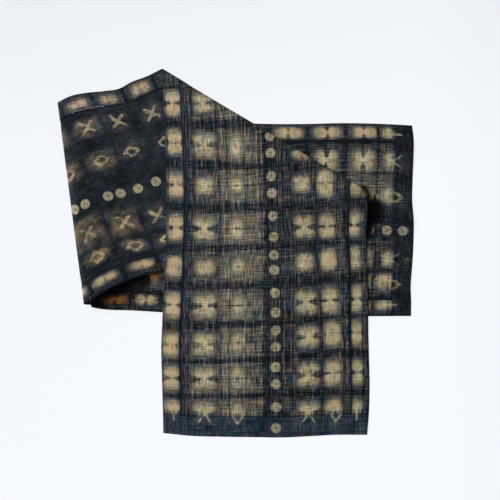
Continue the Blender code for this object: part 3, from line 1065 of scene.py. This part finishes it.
    ring_place = UPPER_DIAMOND - ((840.0 - along) * 0.067).most(0.0).least(9.0)
    lower_ring_place = LOWER_DIAMOND - 6.0
    crisp = thin_cross(LOWER_CROSS).most(thin_cross(UPPER_CROSS))
    crisp = crisp.most(thin_ring(lower_ring_place)).most(thin_ring(ring_place))
    crisp = crisp.most(thin_bar(LOWER_BAR)).most(thin_bar(UPPER_BAR))
    crisp = crisp * (1.0 - along.within(545.0, 565.0, 596.0, 606.0) * 0.55)
    stains = stain(ring_place, 17.0, 30.0).most(stain(UPPER_CROSS, 19.0, 24.0))
    stains = stains.most(stain(LOWER_CROSS + 2.0, 27.0, 30.0))
    stains = stains.most(stain(lower_ring_place, 13.0, 24.0) * 1.15)
    stains = stains * attribute(tree, "crisp_halo")
    crisp_ground = 0.088 + patches.most(-0.2) * 0.36 + cloud * 0.16
    crisp_ground = (crisp_ground + stains * (0.29 + cloud * 0.75)).most(0.0)
    crisp_level = crisp_ground.mixed(0.63 + cloud * 0.9 + warp * 0.4 - on_hem * 0.05, crisp)

    # Hems: the long ones show the blurred side, and the end ones the crisp side
    at_front = along.rises(900.0, 901.0)
    from_side = wide.least(CLOTH_WIDTH - wide)
    side_hem = from_side.falls(SIDE_HEM - 0.4, SIDE_HEM + 0.4)
    end_hem = past_hem.falls(-0.4, 0.4)
    front_hem = end_hem * at_front
    shows_blurred = side_hem.mixed(1.0 - end_hem, side)
    shows_crisp = 1.0 - shows_blurred
    # Dark lines along the sewn lines of the hems: the seam itself, darkened further with painted
    # shade in its groove
    end_seam_and_shade = abs(past_hem - 1.0).falls(0.8, 2.6) * (0.5 + at_front * 0.1) * (1.0 - crisp * 0.6)
    side_seam_and_shade = abs(from_side - SIDE_HEM - 0.5).falls(0.6, 2.4) * (0.85 + cloud * 1.1)
    side_seam_and_shade = side_seam_and_shade.least(0.92).most(0.0) * (1.0 - end_hem)
    stripe = abs(wide - CLOTH_WIDTH + SIDE_HEM + 6.0).falls(2.5, 5.5)
    stripe = stripe * along.rises(860.0, 900.0) * side
    level = crisp_level.mixed(blurred, shows_blurred)
    level = level.mixed(0.17 + warp * 0.25, stripe * 0.75) + front_hem * 0.115

    # Dots, which are the same on both sides
    dot_v = from_middle("dot_phase", DOT_PITCH)
    radius = radius_of(attribute(tree, "dots_across"), dot_v) + cloud * 1.5
    dot = radius.falls(7.8, 10.2)
    level = level.mixed(0.69 + speckle * 0.5, dot) - radius.falls(0.8, 2.4) * 0.22

    # Painted shade along the diagonal crease and a painted highlight along the left fold, threads,
    # seams partly darkened with painted shade, and painted deep shade
    level = level * (1.0 - crease * 0.15) + attribute(tree, "left_fold_highlight") * 0.03
    warp_share = 0.62 + shows_blurred * 0.38 + end_hem * 0.38
    weft_share = 0.5 + shows_blurred * 0.5 + end_hem * 0.9
    threads = (warp * 0.72 + warp_wide * 0.30) * warp_share + speckle * 0.18 * shows_crisp
    threads = threads + (weft * 0.46 + weft_wide * 0.24) * weft_share
    threads = threads * (1.0 - dot * 0.4) * (1.0 - stripe * 0.4)
    level = level + threads * (0.47 + shows_blurred * (0.51 - stiff * 0.28))
    level = level * (1.0 - end_seam_and_shade) * (1.0 - side_seam_and_shade)
    # Painted deep shade on the upward face of the lowest run, beside the raised folds
    lower_face = 1.0 - side.falls(0.4, 0.6)
    painted_shade = attribute(tree, "painted_shade") * lower_face
    painted_shade = (painted_shade * 1.25 - cloud * 0.5 * painted_shade).clamped()
    level = level * (1.0 - painted_shade * 0.8)

    # Colour of the dye, warmer in the bars
    colour = ramp(tree, level, [(at, screen_colour(rgb)) for at, rgb in DYE_COLOURS])
    warm = upper_bar.most(lower_bar * (stiff * 0.6 + 0.3))
    warm = warm.most(lower_diamond * 0.4).most(lower_cross * 0.2) * (stiff * 0.8 + 1.0)
    warm = warm * shows_blurred * level.rises(0.4, 0.8) * (0.5 + cloud * 1.6)
    colour = mix_colour(tree, warm, colour, WARM_COLOUR)

    # Tints, by which the colour is multiplied: threads and patches, stains and the painted shade of
    # the diagonal crease, front hem, painted half shade and painted deep shade
    hue = (spots(3.4, 34.0, 0.0, 9.0) + spots(30.0, 5.0, 0.0, 10.0)) * 1.8 + cloud * 0.4 + 0.5
    reddish = spots(26.0, 30.0, 2.0, 13.0) * 2.4 + 0.5
    bluish = spots(22.0, 26.0, 2.0, 14.0) * 2.4 + 0.5 + front_hem * 0.4 + stripe * 0.5
    thread_tint, red_tint, blue_tint = [
        mix_colour(tree, share.clamped(), *ends)
        for share, ends in ((hue, THREAD_TINTS), (reddish, RED_TINTS), (bluish, BLUE_TINTS))
    ]
    pale = level.rises(0.1, 0.9)
    # Stains of the crisp side, and painted shade that browns the diagonal crease
    stains_and_crease_shade = (stains * 0.9 + patches.rises(0.05, 0.25) * 0.5) * shows_crisp
    stains_and_crease_shade = stains_and_crease_shade * (1.0 - crisp * 0.5) + crease * 0.8
    for share, tint in (
        ((1.0 - pale * 0.75) * (shows_blurred * 0.4 + 0.6), thread_tint),
        ((0.95 - pale * 0.85) * (1.0 - stiff * 0.6), red_tint),
        (0.85 - pale * 0.72, blue_tint),
        (stains_and_crease_shade.least(1.0), STAIN_AND_CREASE_SHADE_TINT),
        (front_hem * (1.0 - crisp.most(dot) * 0.85), HEM_TINT),
        (painted_half_shade * lower_face, PAINTED_HALF_SHADE_TINT),
        (painted_shade, PAINTED_SHADE_TINT),
    ):
        colour = mix_colour(tree, share, colour, tint, "MULTIPLY")
    tree.links.new(colour, shader.inputs["Base Color"])
    set_inputs(shader, {"Roughness": 0.9, "Specular IOR Level": 0.15})

    # Relief of the weave
    weave = (wide * (2 * math.pi / WEAVE_PITCH)).math("SINE")
    weave = weave * (along * (2 * math.pi / WEAVE_PITCH)).math("SINE")
    bump = tree.nodes.new("ShaderNodeBump")
    set_inputs(bump, {"Strength": 0.5, "Distance": 0.0003})
    connect(tree, weave * 0.5 + warp * 1.2 + weft * 1.2, bump.inputs["Height"])
    tree.links.new(bump.outputs["Normal"], shader.inputs["Normal"])
    return material


def make_stage():
    """Plain pale floor and soft light from above."""
    mesh = bpy.data.meshes.new("floor")
    steps = np.linspace(-1.0, 1.0, FLOOR_LINES)
    steps = FLOOR_REACH * np.sign(steps) * np.abs(steps) ** 4
    x, y = np.meshgrid(steps, steps, indexing="ij")
    past_level = np.maximum(np.abs(x), np.abs(y)) - FLOOR_LEVEL_REACH
    z = FLOOR_RISE * smooth(past_level / (FLOOR_REACH - FLOOR_LEVEL_REACH)) - FLOOR_DROP
    vertices = np.stack([x, y, z], axis=-1).reshape(-1, 3)
    mesh.from_pydata(vertices.tolist(), [], grid_faces(FLOOR_LINES, FLOOR_LINES, 0, False))

    # The floor gives off more where less light comes, and less behind and at the right
    reach = np.sqrt((x - LAMP[0]) ** 2 + (y - LAMP[1]) ** 2 + LAMP[2] ** 2)
    lit = (np.linalg.norm(LAMP) / reach) ** 3
    glow = FLOOR_GLOW + 0.118 * (1.0 - lit)
    glow = glow - 0.062 * smooth((y - 0.10) / 0.42) - 0.035 * smooth((x - 0.32) / 0.18)
    add_values(mesh, "glow", glow.clip(0.0, 1.0))
    floor = new_object("floor", mesh)
    material, tree, shader = new_material("floor_white")
    set_inputs(shader, {
        "Base Color": (0.16, 0.165, 0.17, 1.0),
        "Roughness": 0.95,
        "Specular IOR Level": 0.1,
        "Emission Color": (0.928, 0.955, 1.0, 1.0),
    })
    connect(tree, attribute(tree, "glow"), shader.inputs["Emission Strength"])
    mesh.materials.append(material)

    world = bpy.data.worlds.new("studio")
    bpy.context.scene.world = world
    world.use_nodes = True
    background = world.node_tree.nodes["Background"]
    set_inputs(background, {"Color": (0.98, 0.99, 1.0, 1.0), "Strength": 0.26})

    light = bpy.data.lights.new("softbox", "AREA")
    light.shape = "SQUARE"
    light.size = LAMP_SIZE
    light.energy = LAMP_ENERGY
    lamp = new_object("softbox", light)
    lamp.location = LAMP
    lamp.rotation_euler = lamp.location.to_track_quat("Z", "Y").to_euler()


def make_camera():
    camera = bpy.data.cameras.new("camera")
    camera.sensor_width = SENSOR
    view_width = PHOTO_PIXELS * PHOTO_PIXEL * MM
    camera.lens = SENSOR * CAMERA_HEIGHT / view_width
    holder = new_object("camera", camera)
    x = (PHOTO_MIDDLE[0] - MIDDLE[0]) * MM
    y = (PHOTO_MIDDLE[1] - MIDDLE[1]) * MM
    holder.location = (x, y, CAMERA_HEIGHT)
    bpy.context.scene.camera = holder


bpy.context.scene.view_settings.view_transform = "Standard"
cloth, layers = make_cloth()
cloth.data.materials.append(dyed_cloth_material())
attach(cloth, "root")
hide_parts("cloth")

low_line, high_line = SIDE_HEM - STITCH_INSET, CLOTH_WIDTH - SIDE_HEM + STITCH_INSET
near_end, far_end = RIGHT_HEM - STITCH_INSET, CLOTH_LENGTH - FRONT_HEM + STITCH_INSET
first, last, last_across = STITCH_START, CLOTH_LENGTH - STITCH_START, CLOTH_WIDTH - STITCH_START
dark = make_stitches("hem_stitches", STITCH_WIDTH, (
    *[("side", place, first, last, True) for place in (low_line, high_line)],
    ("side", low_line, first, last, False),
    ("side", high_line, first, PALE_STITCHES[0], False),
    ("side", high_line, PALE_STITCHES[1], last, False),
    *[("end", place, first, last_across, on_top)
      for on_top in (True, False) for place in (near_end, far_end)],
), layers)
pale = make_stitches("hem_stitches_pale", PALE_WIDTH, (
    ("side", high_line, *PALE_STITCHES, False),
), layers)
for stitches, thread in zip((dark, pale), THREAD_COLOURS):
    material, _, shader = new_material(stitches.name)
    set_inputs(shader, {"Base Color": screen_colour(thread), "Roughness": 0.8})
    stitches.data.materials.append(material)
    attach(stitches, "root")
make_stage()
make_camera()
